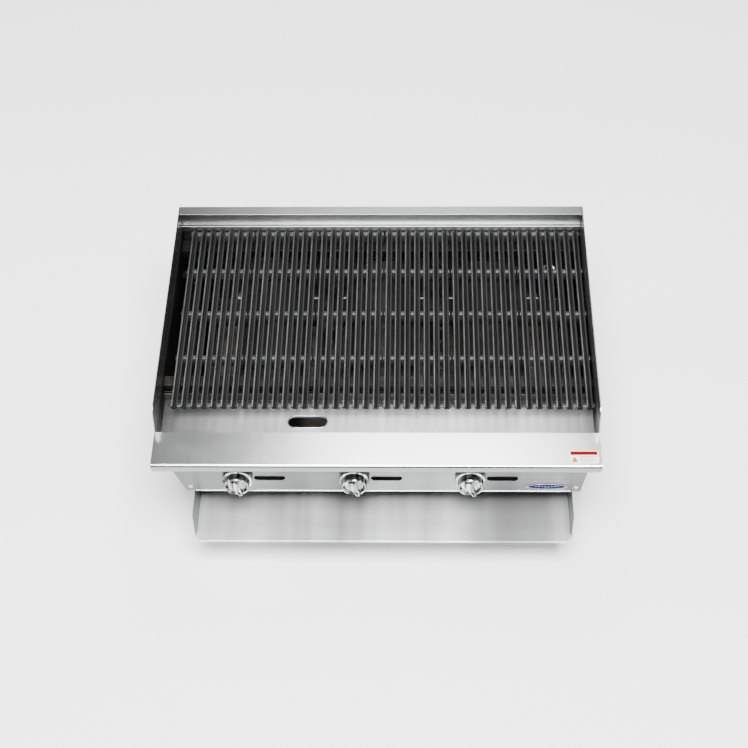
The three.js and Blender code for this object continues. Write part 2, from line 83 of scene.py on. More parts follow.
# ---------- materials ----------
class Mat:
    """A Principled material with node shortcuts. Textures use object coordinates, the part's frame at rest."""

    def __init__(self, name, color, rough, metal=0.0, **sockets):
        self.m = bpy.data.materials.new(name)
        self.m.use_nodes = True
        self.t = self.m.node_tree
        self.b = self.t.nodes["Principled BSDF"]
        self.b.inputs["Base Color"].default_value = (*color, 1)
        self.b.inputs["Roughness"].default_value = rough
        self.b.inputs["Metallic"].default_value = metal
        for key, value in sockets.items():
            self.b.inputs[key.replace("_", " ")].default_value = value
        self.coord = self.t.nodes.new("ShaderNodeTexCoord").outputs["Object"]
        self.normal = None

    def link(self, a, b):
        self.t.links.new(a, b)

    def scaled(self, scale):
        n = self.t.nodes.new("ShaderNodeMapping")
        n.inputs["Scale"].default_value = scale
        self.link(self.coord, n.inputs["Vector"])
        return n.outputs["Vector"]

    def noise(self, scale, detail=3, rough=0.55, distort=0.0):
        n = self.t.nodes.new("ShaderNodeTexNoise")
        n.inputs["Scale"].default_value = 1
        n.inputs["Detail"].default_value = detail
        n.inputs["Roughness"].default_value = rough
        n.inputs["Distortion"].default_value = distort
        self.link(self.scaled(scale), n.inputs["Vector"])
        return n.outputs["Fac"]

    def cells(self, scale):
        n = self.t.nodes.new("ShaderNodeTexVoronoi")
        n.feature = "F1"
        n.inputs["Scale"].default_value = 1
        self.link(self.scaled(scale), n.inputs["Vector"])
        return n.outputs["Distance"]

    def ramp(self, fac, stops):
        n = self.t.nodes.new("ShaderNodeValToRGB")
        e = n.color_ramp.elements
        while len(e) < len(stops):
            e.new(0.5)
        for el, (pos, col) in zip(e, stops):
            el.position = pos
            el.color = (*col, 1) if isinstance(col, tuple) else (col, col, col, 1)
        self.link(fac, n.inputs["Fac"])
        return n.outputs["Color"]

    def math(self, op, a, b):
        n = self.t.nodes.new("ShaderNodeMath")
        n.operation = op
        for sock, v in zip(n.inputs, (a, b)):
            if isinstance(v, (int, float)):
                sock.default_value = v
            else:
                self.link(v, sock)
        return n.outputs[0]

    def mix(self, fac, a, b):
        n = self.t.nodes.new("ShaderNodeMix")
        n.data_type = "RGBA"
        for sock, v in ((n.inputs["Factor"], fac), (n.inputs["A"], a), (n.inputs["B"], b)):
            if isinstance(v, tuple):
                sock.default_value = (*v, 1)
            else:
                self.link(v, sock)
        return n.outputs["Result"]

    def axis(self, which):
        n = self.t.nodes.new("ShaderNodeSeparateXYZ")
        self.link(self.coord, n.inputs[0])
        return n.outputs[which]

    def bump(self, height, strength, distance):
        n = self.t.nodes.new("ShaderNodeBump")
        n.inputs["Strength"].default_value = strength
        n.inputs["Distance"].default_value = distance
        self.link(height, n.inputs["Height"])
        if self.normal:
            self.link(self.normal, n.inputs["Normal"])
        self.normal = n.outputs["Normal"]
        self.link(self.normal, self.b.inputs["Normal"])

    def color(self, out):
        self.link(out, self.b.inputs["Base Color"])

    def rough(self, out):
        self.link(out, self.b.inputs["Roughness"])


def from_core(m):
    """Distance sideways from the middle of the lower body."""
    return m.math("ABSOLUTE", m.math("SUBTRACT", m.axis("X"), CORE_X), 0)


def brushed(name, base, rough, smear=1.0, bump=0.25, metal=1.0, bands=0.0, soot_from=None,
            soot_and_shade_tone=(0.035, 0.034, 0.033), end_shade=None, wall_shade_from=None, nose_shade_below=None, shade=None):
    """Stainless brushed from side to side: fine lines, broad smears and, where asked for, bands of tone, partly
    random and partly painted reflection stripes, painted shade over the ends, painted shade on the side wall faces
    past a distance from the middle, painted shade on the rounded front below a height, a painted reflection as a
    dim patch right of the middle, and a sooty tone past a depth."""
    m = Mat(name, base, rough[0], metal)
    lines = m.noise((6.0, 1400.0, 1400.0), detail=4, rough=0.7)
    broad = m.noise((5 * smear, 5 * smear, 5 * smear), detail=4, rough=0.6, distort=0.6)
    both = m.math("ADD", m.math("MULTIPLY", lines, 0.55), m.math("MULTIPLY", broad, 0.45))
    m.rough(m.ramp(both, [(0.3, rough[0]), (0.7, rough[1])]))
    lo, hi = tuple(c * 0.88 for c in base), tuple(min(1, c * 1.06) for c in base)
    # tone bands across X: partly random tone, partly painted reflection stripes like the light streaks of brushed
    # steel
    if bands:
        streak = m.noise((9, 0.7, 0.7), detail=3, rough=0.6)
        both = m.math("ADD", m.math("MULTIPLY", both, 1 - bands), m.math("MULTIPLY", streak, bands))
        lo, hi = tuple(c * 0.5 for c in base), tuple(min(1, c * 1.32) for c in base)
    tone = m.ramp(both, [(0.34, lo), (0.66, hi)])
    # painted shade: the colour darkens towards one or both ends along X, a light gradient painted into the surface
    if end_shade:
        along = m.math("ADD", m.axis("X"), m.math("MULTIPLY", broad, 0.08))
        end_shade_mask = m.ramp(m.math("ADD", along, 0.5), [(0.06, 1.0), (0.4, 0.0), (0.84, 0.0), (1.0, 0.7)])
        tone = m.mix(end_shade_mask, tone, end_shade)
    # painted shade: the tray's side walls past this distance from the middle get a darker grey
    if wall_shade_from:
        tone = m.mix(m.math("GREATER_THAN", from_core(m), wall_shade_from), tone, (0.16, 0.162, 0.165))
    # painted shade: the ledge's rounded front below this height gets a darker grey
    if nose_shade_below:
        tone = m.mix(m.math("LESS_THAN", m.axis("Z"), nose_shade_below), tone, (0.27, 0.272, 0.275))
    # painted reflection: a dim patch right of the middle stands in for a dark thing reflected in the tray
    if shade:
        across = m.math("ADD", m.axis("X"), m.math("MULTIPLY", broad, 0.06))
        patch = m.ramp(m.math("ADD", across, 0.47), [(0.66, 0.0), (0.78, 1.0), (0.86, 0.8), (0.92, 0.1)])
        tone = m.mix(patch, tone, shade)
    if soot_from is not None:
        edge = m.math("ADD", m.axis("Y"), m.math("MULTIPLY", broad, 0.02))
        past = m.ramp(m.math("ADD", edge, 0.5), [(soot_from + 0.5, 0.0), (soot_from + 0.525, 1.0)])
        burnt = m.noise((7, 9, 7), detail=7, rough=0.65, distort=0.8)
        tone = m.mix(past, tone, m.ramp(burnt, [(0.32, soot_and_shade_tone), (0.68, tuple(c * 2.6 for c in soot_and_shade_tone))]))
    m.color(tone)
    m.bump(lines, bump, 0.0002)
    return m.m


STEEL = brushed("brushed_stainless", (0.6, 0.605, 0.61), (0.15, 0.24), bump=0.22)
# the tray: tone bands partly painted reflection stripes, painted shade on its walls, a painted reflection patch
# right of the middle, and a sooty tone past a depth
STEEL_TRAY = brushed("brushed_tray", (0.74, 0.745, 0.75), (0.26, 0.38), smear=0.7, bump=0.3, metal=0.6, bands=0.85,
                     soot_from=-0.235, soot_and_shade_tone=(0.07, 0.066, 0.06), wall_shade_from=0.3968, shade=(0.3, 0.302, 0.305))
# the ledge: its rounded front painted darker as painted shade
STEEL_LEDGE = brushed("brushed_ledge", (0.6, 0.605, 0.61), (0.15, 0.24), bump=0.22, nose_shade_below=0.3404)
STEEL_BACK = brushed("brushed_back", (0.3, 0.303, 0.306), (0.26, 0.38), smear=0.8, bands=0.35)
# the control panel and aprons: a much darker copy of the stainless, as painted shade
STEEL_PANEL = brushed("brushed_panel", (0.15, 0.152, 0.154), (0.28, 0.4), smear=0.8, bands=0.4)
# the gutter: a paler, part-diffuse copy of the stainless as painted light, its ends darkened as painted shade, and
# a sooty tone past a depth
STEEL_GUTTER = brushed("brushed_gutter", (0.86, 0.865, 0.87), (0.34, 0.46), bump=0.3, metal=0.6, bands=0.3,
                       soot_from=-0.147, end_shade=(0.012, 0.012, 0.0125))
# the splash: its ends darkened as painted shade
STEEL_SPLASH = brushed("brushed_splash", (0.62, 0.624, 0.628), (0.3, 0.42), end_shade=(0.24, 0.24, 0.242))


def side_steel():
    """Outer faces brushed along the depth; the inside below the cooking level, back from the front, is painted
    near-black as a painted reflection of the dark grates.
    """
    m = Mat("brushed_side", (0.6, 0.61, 0.62), 0.3, 1.0)
    lines = m.noise((1400, 6, 1400), detail=4, rough=0.7)
    wall_mottle = m.noise((9, 5, 14), detail=5, distort=0.7)
    upper = m.math("LESS_THAN", m.math("ABSOLUTE", m.axis("X"), 0), SHELL_SKIN)
    lower = m.math("LESS_THAN", from_core(m), BODY_SKIN)
    above = m.math("GREATER_THAN", m.axis("Z"), STEP_Z)
    inside = m.math("ADD", m.math("MULTIPLY", upper, above),
                    m.math("MULTIPLY", lower, m.math("SUBTRACT", 1.0, above)))
    # painted reflection: inner faces below the cooking level and back from the front are masked for a near-black
    # tone that stands in for the dark grates reflected in them
    low = m.ramp(m.math("ADD", m.axis("Z"), m.math("MULTIPLY", wall_mottle, 0.02)), [(0.338, 1.0), (0.366, 0.0)])
    back = m.ramp(m.math("ADD", m.axis("Y"), 0.5), [(0.22, 0.0), (0.32, 1.0)])
    dark = m.math("MULTIPLY", inside, m.math("MULTIPLY", low, back))
    steel_tone = m.ramp(m.math("ADD", m.math("MULTIPLY", lines, 0.5), m.math("MULTIPLY", wall_mottle, 0.5)),
                   [(0.3, (0.24, 0.243, 0.246)), (0.7, (0.34, 0.344, 0.348))])
    # the near-black tone of that painted reflection
    soot_and_shade_tone = m.ramp(wall_mottle, [(0.3, (0.008, 0.0078, 0.0075)), (0.75, (0.03, 0.029, 0.028))])
    m.color(m.mix(dark, steel_tone, soot_and_shade_tone))
    dulled = m.math("ADD", m.math("MULTIPLY", dark, 0.4), m.math("MULTIPLY", lines, 0.25))
    m.rough(m.ramp(dulled, [(0.0, 0.2), (0.6, 0.55)]))
    m.bump(lines, 0.1, 0.0002)
    return m.m


def dull_steel():
    """Steel inside the fire box, browned and stained by heat."""
    m = Mat("heat_dulled_steel", (0.2, 0.2, 0.2), 0.5, 0.9)
    stain = m.noise((16, 16, 16), detail=6, distort=0.8)
    m.color(m.ramp(stain, [(0.3, (0.01, 0.0095, 0.009)), (0.55, (0.022, 0.021, 0.02)),
                           (0.8, (0.07, 0.067, 0.064))]))
    m.rough(m.ramp(stain, [(0.3, 0.62), (0.75, 0.36)]))
    m.bump(m.noise((260, 260, 260), detail=3), 0.15, 0.0004)
    return m.m


def burner_tube():
    """Tube steel with straw and blue heat tint in soft bands."""
    m = Mat("burner_steel", (0.3, 0.29, 0.28), 0.4, 1.0)
    bands = m.noise((9, 7, 9), detail=4, distort=1.0)
    m.color(m.ramp(bands, [(0.25, (0.12, 0.11, 0.12)), (0.45, (0.26, 0.2, 0.14)), (0.6, (0.2, 0.2, 0.26)),
                           (0.8, (0.4, 0.38, 0.36))]))
    m.rough(m.ramp(bands, [(0.2, 0.55), (0.8, 0.3)]))
    m.bump(m.noise((500, 500, 500), detail=3), 0.12, 0.0003)
    return m.m


def cast_iron():
    """Dark seasoned casting, a little paler on the low lips and rubbed bright on the highest edges."""
    m = Mat("seasoned_cast_iron", (0.03, 0.03, 0.032), 0.42, 0.3)
    grit = m.noise((420, 420, 420), detail=6, rough=0.65)
    wear = m.noise((28, 9, 28), detail=5, distort=0.5)
    body = m.ramp(wear, [(0.3, (0.004, 0.004, 0.0042)), (0.6, (0.008, 0.008, 0.0083)),
                         (0.85, (0.016, 0.016, 0.0165))])
    height = m.math("ADD", m.axis("Z"), m.math("MULTIPLY", wear, 0.0012))
    level = m.math("MULTIPLY", m.math("SUBTRACT", height, 0.33), 50.0)
    crest = m.ramp(level, [(0.5, 0.0), (0.6, 1.0)])
    lip = m.ramp(level, [(0.37, 0.0), (0.42, 1.0)])
    body = m.mix(lip, body, (0.02, 0.02, 0.0205))
    m.color(m.mix(crest, body, m.ramp(wear, [(0.3, (0.14, 0.14, 0.142)), (0.8, (0.27, 0.27, 0.274))])))
    m.rough(m.ramp(grit, [(0.25, 0.24), (0.75, 0.38)]))
    m.link(m.math("ADD", m.math("MULTIPLY", crest, 0.75), 0.15), m.b.inputs["Metallic"])
    m.link(m.math("ADD", m.math("MULTIPLY", crest, 0.2), 0.14), m.b.inputs["Specular IOR Level"])
    m.bump(grit, 0.3, 0.0005)
    m.bump(m.cells((160, 160, 160)), 0.1, 0.0005)
    return m.m


def rib_iron():
    """Cross ribs: the same casting, in a mottled iron tone paler than the bars."""
    m = Mat("pale_rib_iron", (0.05, 0.05, 0.051), 0.45, 0.7, Specular_IOR_Level=0.3)
    rib_mottle = m.noise((60, 120, 60), detail=5, distort=0.5)
    m.color(m.ramp(rib_mottle, [(0.3, (0.045, 0.045, 0.0455)), (0.7, (0.09, 0.09, 0.091))]))
    m.rough(m.ramp(rib_mottle, [(0.3, 0.36), (0.8, 0.5)]))
    m.bump(m.noise((420, 420, 420), detail=6, rough=0.65), 0.3, 0.0005)
    return m.m


def radiant_iron():
    """Cast radiant, burnt to a dull brown-black with a few paler scale patches."""
    m = Mat("burnt_radiant", (0.012, 0.011, 0.011), 0.7, 0.1)
    scale = m.noise((30, 22, 30), detail=6, distort=0.7)
    m.color(m.ramp(scale, [(0.35, (0.006, 0.0055, 0.005)), (0.6, (0.014, 0.013, 0.012)),
                           (0.85, (0.04, 0.036, 0.033))]))
    m.rough(m.ramp(scale, [(0.3, 0.8), (0.8, 0.55)]))
    m.bump(m.noise((300, 300, 300), detail=5), 0.35, 0.0006)
    return m.m


def chrome():
    """Polished zinc casting under chrome, with painted reflection: dark and bright upright stripes across the hub.
    """
    m = Mat("polished_chrome", (0.5, 0.505, 0.51), 0.08, 1.0)
    prints = m.noise((60, 60, 60), detail=4, distort=0.6)
    m.rough(m.ramp(prints, [(0.35, 0.04), (0.7, 0.13)]))
    # painted reflection: stripes of dark and bright chrome colour
    reflection_stripes = m.noise((190, 14, 14), detail=3, rough=0.6)
    m.color(m.ramp(reflection_stripes, [(0.36, (0.09, 0.088, 0.085)), (0.5, (0.4, 0.404, 0.41)),
                             (0.64, (0.72, 0.725, 0.73))]))
    m.bump(m.noise((350, 350, 350), detail=3), 0.03, 0.0003)
    return m.m


def plain(name, color, rough, metal=0.0, *, grain, spread, bump=0.12, **sockets):
    """One colour with mottled tone, uneven gloss and a fine surface."""
    m = Mat(name, color, rough, metal, **sockets)
    n = m.noise((grain / 6, grain / 6, grain / 6), detail=5, distort=0.4)
    dark, pale = (tuple(min(1, c * k) for c in color) for k in (1 - spread, 1 + spread))
    m.color(m.ramp(n, [(0.3, dark), (0.7, pale)]))
    m.rough(m.ramp(n, [(0.3, max(0.03, rough - 0.07)), (0.7, min(1, rough + 0.09))]))
    m.bump(m.noise((grain * 2, grain * 2, grain * 2), detail=4), bump, 0.0003)
    return m.m


SIDE = side_steel()
DULL = dull_steel()
TUBE = burner_tube()
IRON = cast_iron()
RIB = rib_iron()
RADIANT = radiant_iron()
CHROME = chrome()
BRASS = plain("machined_brass", (0.62, 0.47, 0.2), 0.3, 1.0, grain=260, spread=0.2)
PIPE = plain("black_pipe", (0.035, 0.035, 0.038), 0.48, 0.3, grain=180, spread=0.35, bump=0.3)
RUBBER = plain("moulded_rubber", (0.03, 0.03, 0.03), 0.7, grain=320, spread=0.3, bump=0.4)
# dark pointer colour: the real pointer mark, and also a painted shadow on the grip's lower tip
POINTER_AND_TIP_SHADOW = plain("knob_pointer_and_tip_shadow", (0.12, 0.12, 0.122), 0.3, 0.8, grain=300, spread=0.2)
SCREW = plain("bright_screw", (0.78, 0.79, 0.8), 0.16, 1.0, grain=300, spread=0.08, bump=0.08)
BLUE = plain("badge_blue", (0.002, 0.006, 0.06), 0.4, grain=240, spread=0.12, bump=0.05, Specular_IOR_Level=0.08)
RIM = plain("badge_rim", (0.36, 0.37, 0.4), 0.25, 0.6, grain=240, spread=0.06, bump=0.05)
VINYL = plain("label_vinyl", (0.85, 0.85, 0.83), 0.42, grain=240, spread=0.03, bump=0.06)


def print_ink(name, color, spread=0.08, specular=0.02):
    return plain(name, color, 0.7, grain=240, spread=spread, bump=0.06, Specular_IOR_Level=specular)


RED = print_ink("label_red", (0.16, 0.0004, 0.001))
YELLOW = print_ink("label_yellow", (0.3, 0.17, 0.0003))
INK = print_ink("label_ink", (0.03, 0.028, 0.028), spread=0.2, specular=0.05)

# first match by the start of the node's name; anything else is plain brushed stainless
FINISHES = (
    (("grate_rest", "fire_box", "burner_rest", "radiant_rest", "divider", "tray_rail", "base_bar"), DULL),
    (("burner",), TUBE),
    (("radiant",), RADIANT),
    (("grate",), IRON),
    (("side_panel",), SIDE),
    (("front_ledge",), STEEL_LEDGE),
    (("back_panel",), STEEL_BACK),
    (("control_panel", "apron"), STEEL_PANEL),
    (("drip_tray",), STEEL_TRAY),
    (("grease_gutter",), STEEL_GUTTER),
    (("backsplash",), STEEL_SPLASH),
    (("knob",), CHROME),
    (("gas_valve", "pilot"), BRASS),
    (("gas_manifold",), PIPE),
    (("foot",), RUBBER),
    (("badge",), BLUE),
    (("rating_label",), VINYL),
)
for name, obj in NODES.items():
    obj.data.materials.clear()
    obj.data.materials.append(next((mat for starts, mat in FINISHES if name.startswith(starts)), STEEL))


# ---------- finishing the CAD sheets: welded corners, small edge radii ----------
def soften(obj, width, angle=35):
    """Smooth shading with a small radius on every edge sharper than angle."""
    me = obj.data
    if "custom_normal" in me.attributes:
        me.attributes.remove(me.attributes["custom_normal"])
    me.polygons.foreach_set("use_smooth", [True] * len(me.polygons))
    weld = obj.modifiers.new("weld", "WELD")
    weld.merge_threshold = 1e-6
    bev = obj.modifiers.new("edge_radius", "BEVEL")
    bev.width = width
    bev.segments = 2 if angle > 20 else 3
    bev.limit_method = "ANGLE"
    bev.angle_limit = math.radians(angle)
    bev.harden_normals = True
    wn = obj.modifiers.new("flat_faces", "WEIGHTED_NORMAL")
    wn.keep_sharp = True


REPLACED = ("knob", "badge", "rating_label", *GRATES)
for name, obj in NODES.items():
    if name == "front_ledge":
        soften(obj, 0.0022, 12)
    elif not name.startswith(REPLACED):
        soften(obj, 0.0004 if name.startswith(("pilot", "gas_valve")) else 0.0006)


# ---------- building blocks ----------
def piece(name, bm, mats, body, replaces=None, smooth=40):
    """Turn bm into an object on a body, with edges sharper than smooth degrees kept crisp."""
    me = bpy.data.meshes.new(name)
    bmesh.ops.recalc_face_normals(bm, faces=bm.faces[:])
    bm.to_mesh(me)
    bm.free()
    for m in mats if isinstance(mats, (list, tuple)) else [mats]:
        me.materials.append(m)
    me.polygons.foreach_set("use_smooth", [True] * len(me.polygons))
    me.set_sharp_from_angle(angle=math.radians(smooth))
    o = bpy.data.objects.new(name, me)
    bpy.context.scene.collection.objects.link(o)
    if replaces:
        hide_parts(replaces)
    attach(o, body)


def loft(bm, rings, mat=0, closed=False):
    """Closed rings of equal count joined in order, capped at both ends unless closed."""
    rows = [[bm.verts.new(p) for p in ring] for ring in rings]
    n = len(rows[0])
    pairs = list(zip(rows, rows[1:])) + ([(rows[-1], rows[0])] if closed else [])
    faces = [bm.faces.new((a[i], a[(i + 1) % n], b[(i + 1) % n], b[i])) for a, b in pairs for i in range(n)]
    if not closed:
        faces += [bm.faces.new(rows[0]), bm.faces.new(rows[-1])]
    for f in faces:
        f.material_index = mat
    return faces


def circle(count):
    """Angles of count points evenly round a circle."""
    return [2 * math.pi * k / count for k in range(count)]


def turned(bm, axis, centre, profile, sides):
    """Lathe of (distance along axis, radius) round an axis through centre."""
    a = "XYZ".index(axis)
    u, v = [(1, 2), (2, 0), (0, 1)][a]
    rings = []
    for d, r in profile:
        ring = []
        for t in circle(sides):
            p = [0.0, 0.0, 0.0]
            p[a] = centre[a] + d
            p[u] = centre[u] + r * math.cos(t)
            p[v] = centre[v] + r * math.sin(t)
            ring.append(p)
        rings.append(ring)
    loft(bm, rings)


def block(bm, lo, hi, mat):
    """Plain box."""
    (x0, y0, z0), (x1, y1, z1) = lo, hi
    loft(bm, [[(x0, y0, z), (x1, y0, z), (x1, y1, z), (x0, y1, z)] for z in (z0, z1)], mat)


# ---------- grates ----------
BARS, PITCH, HALF = 7, 0.02088, 0.007
BAR_HEIGHT = 0.020
TOE_LENGTH, TOE_RISE = 0.0665, 0.0112     # the underside rises toward the front end
RIB_HALF = 0.0055
RIB_DEPTHS = (0.1655, 0.2993, 0.4290, 0.5584, 0.6775)
END_RIB_Z = (0.3325, 0.3374)
RIB_TOP = 0.3363
IN_LIP, IN_RIDGE = 0.0022, 0.0026         # how far a rib runs into the bars on its two sides


def bar_profile(base, top, half, depth):
    """Bar section: a narrow high cooking edge on the left, a groove, a lower rounded lip on the right."""
    side = min(0.006, (top - base) * 0.3)
    k = half / HALF
    lip = top - depth * 0.38
    foot = [(-half * 0.55, base), (half * 0.5, base), (half * 0.78, base + side * 0.27), (half * 0.9, base + side)]
    low_lip = [(half, lip - 0.0016), (half - 0.0005 * k, lip - 0.0004), (half - 0.0018 * k, lip),
               (half - 0.0036 * k, lip - 0.0004), (half - 0.0048 * k, lip - 0.0018)]
    groove = [(half - 0.0062 * k, top - depth), (-half + 0.0054 * k, top - depth)]
    ridge = [(-half + 0.0044 * k, top - depth * 0.86), (-half + 0.0037 * k, top - 0.0014),
             (-half + 0.0030 * k, top - 0.0004), (-half + 0.0018 * k, top), (-half + 0.0007 * k, top - 0.0005),
             (-half, top - 0.0016)]
    return foot + low_lip + groove + ridge + [(-half * 0.98, base + side), (-half * 0.86, base + side * 0.27)]


def rib_profile(y0, y1, z0, z1):
    """Rib section with small rounds on its top and bottom edges."""
    r = 0.0012
    return [(y0 + r, z0), (y1 - r, z0), (y1 - r * 0.4, z0 + r), (y1, z1 - r), (y1 - r * 0.5, z1 - r * 0.3),
            (y1 - r, z1), (y0 + r, z1), (y0 + r * 0.5, z1 - r * 0.3), (y0, z1 - r), (y0 + r * 0.4, z0 + r)]


def grate(node, name):
    """One section: long bars with a thin swollen toe at the front and a tapered tip at the rear, and cross ribs."""
    lo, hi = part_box(node)
    cx = (lo.x + hi.x) / 2
    base, top = hi.z - BAR_HEIGHT, hi.z
    front, back = lo.y, hi.y
    toe = front + TOE_LENGTH
    bar_x = [cx + (j - (BARS - 1) / 2) * PITCH for j in range(BARS)]
    # along the bar: y, width, drop of the crests, depth of the groove
    stations = [(front, 0.93, -0.0022, 0.0062), (front + 0.0012, 1.0, -0.0014, 0.0064),
                (front + 0.0120, 1.0, -0.0012, 0.0066), (front + 0.0140, 1.04, 0.0, 0.0070),
                (front + 0.0165, 1.04, 0.0, 0.0074), (front + 0.0190, 1.0, -0.0005, 0.0076),
                (toe, 1.0, 0, 0.0082)]
    stations += [(toe + k * (back - toe - 0.02) / 5, 1.0, 0, 0.0082) for k in range(1, 6)]
    stations += [(back - 0.013, 0.96, -0.0002, 0.0078), (back - 0.007, 0.86, -0.0008, 0.0066),
                 (back - 0.002, 0.66, -0.0018, 0.005), (back, 0.5, -0.003, 0.0036)]
    bm = bmesh.new()
    for x in bar_x:
        rings = []
        for y, w, dz, depth in stations:
            under = base + TOE_RISE * max(0.0, (toe - y) / (toe - front))
            rings.append([(x + u * w, y, z + (dz if z > top - 0.01 else 0))
                          for u, z in bar_profile(under, top, HALF, depth)])
        loft(bm, rings)
    # ribs run from bar to bar, with a short rounded stub at each end: x and size along each run
    runs = [[(u + HALF - IN_LIP, 1.0), (v - HALF + IN_RIDGE, 1.0)] for u, v in zip(bar_x, bar_x[1:])]
    runs += [[(lo.x, 0.62), (lo.x + 0.0014, 1.0), (bar_x[0] - HALF + IN_RIDGE, 1.0)],
             [(bar_x[-1] + HALF - IN_LIP, 1.0), (hi.x - 0.0014, 1.0), (hi.x, 0.62)]]
    for n, depth in enumerate(RIB_DEPTHS):
        y = at_depth(depth)
        z0, z1 = (lo.z, RIB_TOP) if n else END_RIB_Z
        zc = (z0 + z1) / 2
        section = rib_profile(y - RIB_HALF, y + RIB_HALF, z0, z1)
        for run in runs:
            loft(bm, [[(x, y + (p - y) * s, zc + (z - zc) * s) for p, z in section] for x, s in run], 1)
    piece(name, bm, [IRON, RIB], node, replaces=node, smooth=50)


for i, node in enumerate(GRATES, 1):
    grate(node, f"grate_casting_{i}")


# ---------- knobs ----------
KNOB_Z = 0.233
KNOB_REAR = -0.2955        # y of the bezel's rear edge
GRIP_ROOT = 0.0142         # the grip starts this far in front of it
GRIP_TILT = math.radians(22)
TIP_SHADOW_BELOW = -0.0185        # the grip's pointer end is painted dark past here, a painted shadow

# bezel, hub and dished face: distance in front of the rear edge, radius
KNOB_BODY = ((0, 0.0296), (0.0008, 0.0312), (0.002, 0.032), (0.0065, 0.032), (0.0082, 0.0314), (0.009, 0.0302),
             (0.0092, 0.0286), (0.0100, 0.0276), (0.0200, 0.0266), (0.0236, 0.0258), (0.0252, 0.0246),
             (0.0254, 0.0234), (0.0238, 0.0222), (0.0190, 0.0190), (0.0172, 0.0130), (0.0168, 0.0040))
# grip: distance in front of its root, width, reach up, reach down
KNOB_GRIP = ((0.0, 1.3, 0.0262, 0.0258), (0.003, 1.12, 0.0258, 0.0262), (0.007, 1.03, 0.0238, 0.0266),
             (0.0105, 1.0, 0.0198, 0.0267), (0.0135, 0.96, 0.0142, 0.0264), (0.0155, 0.88, 0.0080, 0.0254),
             (0.0165, 0.76, 0.0020, 0.0240), (0.0168, 0.6, -0.0030, 0.0222))


def signed_power(v, power):
    return math.copysign(abs(v) ** power, v)


def knob(n):
    """Dished knob with a wedge grip across it, wide at the top, its narrow end pointing down and right."""
    node = f"knob_{n}"
    lo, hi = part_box(node)
    cx = (lo.x + hi.x) / 2
    front = lo.y
    bm = bmesh.new()
    turned(bm, "Y", (cx, 0, KNOB_Z), [(KNOB_REAR - d, r) for d, r in KNOB_BODY], 64)
    turned(bm, "Y", (cx, 0, KNOB_Z), [(KNOB_REAR - 0.001, 0.004), (hi.y, 0.004)], 20)
    c0, s0 = math.cos(GRIP_TILT), math.sin(GRIP_TILT)

    def spin(px, pz):
        return cx + px * c0 - pz * s0, KNOB_Z + px * s0 + pz * c0

    rings = []
    for d, w, up, down in KNOB_GRIP:
        y = max(KNOB_REAR - GRIP_ROOT - d, front)
        mid, h = (up - down) / 2, (up + down) / 2
        ring = []
        for t in circle(36):
            pz = mid + h * signed_power(math.sin(t), 0.4)
            half = 0.0046 + 0.0066 * (pz / 0.0262 + 1) / 2
            ring_x, ring_z = spin(w * half * signed_power(math.cos(t), 0.5), pz)
            ring.append((ring_x, y, ring_z))
        rings.append(ring)
    # painted shadow: faces of the grip's lower end get the dark pointer finish
    for f in loft(bm, rings):
        c = f.calc_center_median()
        if -(c.x - cx) * s0 + (c.z - KNOB_Z) * c0 < TIP_SHADOW_BELOW:
            f.material_index = 1
    mark = [spin(px, pz) for px, pz in ((-0.002, -0.0205), (0.002, -0.0205), (0.002, -0.0085), (-0.002, -0.0085))]
    y = max(KNOB_REAR - 0.0310, front)
    proud = y - 0.00005 if y > front else y
    loft(bm, [[(u, y + 0.0004, v) for u, v in mark], [(u, proud, v) for u, v in mark]], 1)
    piece(f"chrome_knob_{n}", bm, [CHROME, POINTER_AND_TIP_SHADOW], node, replaces=node, smooth=32)


for n in (1, 2, 3):
    knob(n)


# ---------- screws ----------
def screw(name, at, axis, direction, r=0.0045):
    """Pan-head screw with a cross recess; axis X, Y or Z, direction the way the head faces."""
    bm = bmesh.new()
    s = direction
    turned(bm, axis, at, [(0, r), (s * 0.0006, r), (s * 0.0013, r * 0.86), (s * 0.0018, r * 0.6),
                          (s * 0.002, r * 0.32), (s * 0.0012, r * 0.26), (s * 0.0009, 0.0004)], 24)
    a = "XYZ".index(axis)
    u, v = [(1, 2), (2, 0), (0, 1)][a]
    for p, q in ((r * 0.5, r * 0.09), (r * 0.09, r * 0.5)):
        lo3, hi3 = [0.0] * 3, [0.0] * 3
        lo3[a], hi3[a] = sorted((at[a] + s * 0.0005, at[a] + s * 0.00185))
        lo3[u], hi3[u] = at[u] - p, at[u] + p
        lo3[v], hi3[v] = at[v] - q, at[v] + q
        block(bm, lo3, hi3, 1)
    piece(name, bm, [SCREW, INK], "body")


apron_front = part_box("apron_end_left")[0].y
for side, tag in ((-1, "left"), (1, "right")):
    screw(f"apron_screw_{tag}", (CORE_X + side * 0.405, apron_front, 0.2), "Y", -1)
    for k, z in enumerate((0.125, 0.195)):
        for m, depth in enumerate((0.18, 0.42, 0.66)):
            screw(f"wall_screw_{tag}_{k}_{m}", (CORE_X + side * 0.413, at_depth(depth), z), "X", side)

# the lowest row follows the narrower lower body
for k, (z, spacing, middle) in enumerate(((0.135, 0.2, CORE_X), (0.24, 0.22, 0), (0.36, 0.22, 0))):
    for m in range(5):
        screw(f"back_screw_{k}_{m}", (middle + (m - 2) * spacing, at_depth(BACK_DEPTH), z), "Y", 1)


# ---------- rims and folds ----------
def stadium(cx, cy, length, width, count=14):
    """Outline of a slot with round ends."""
    r = width / 2
    return [(cx + end * (length / 2 - r) + r * math.cos(a), cy + r * math.sin(a))
            for end in (1, -1) for a in [end * -math.pi / 2 + math.pi * k / count for k in range(count + 1)]]


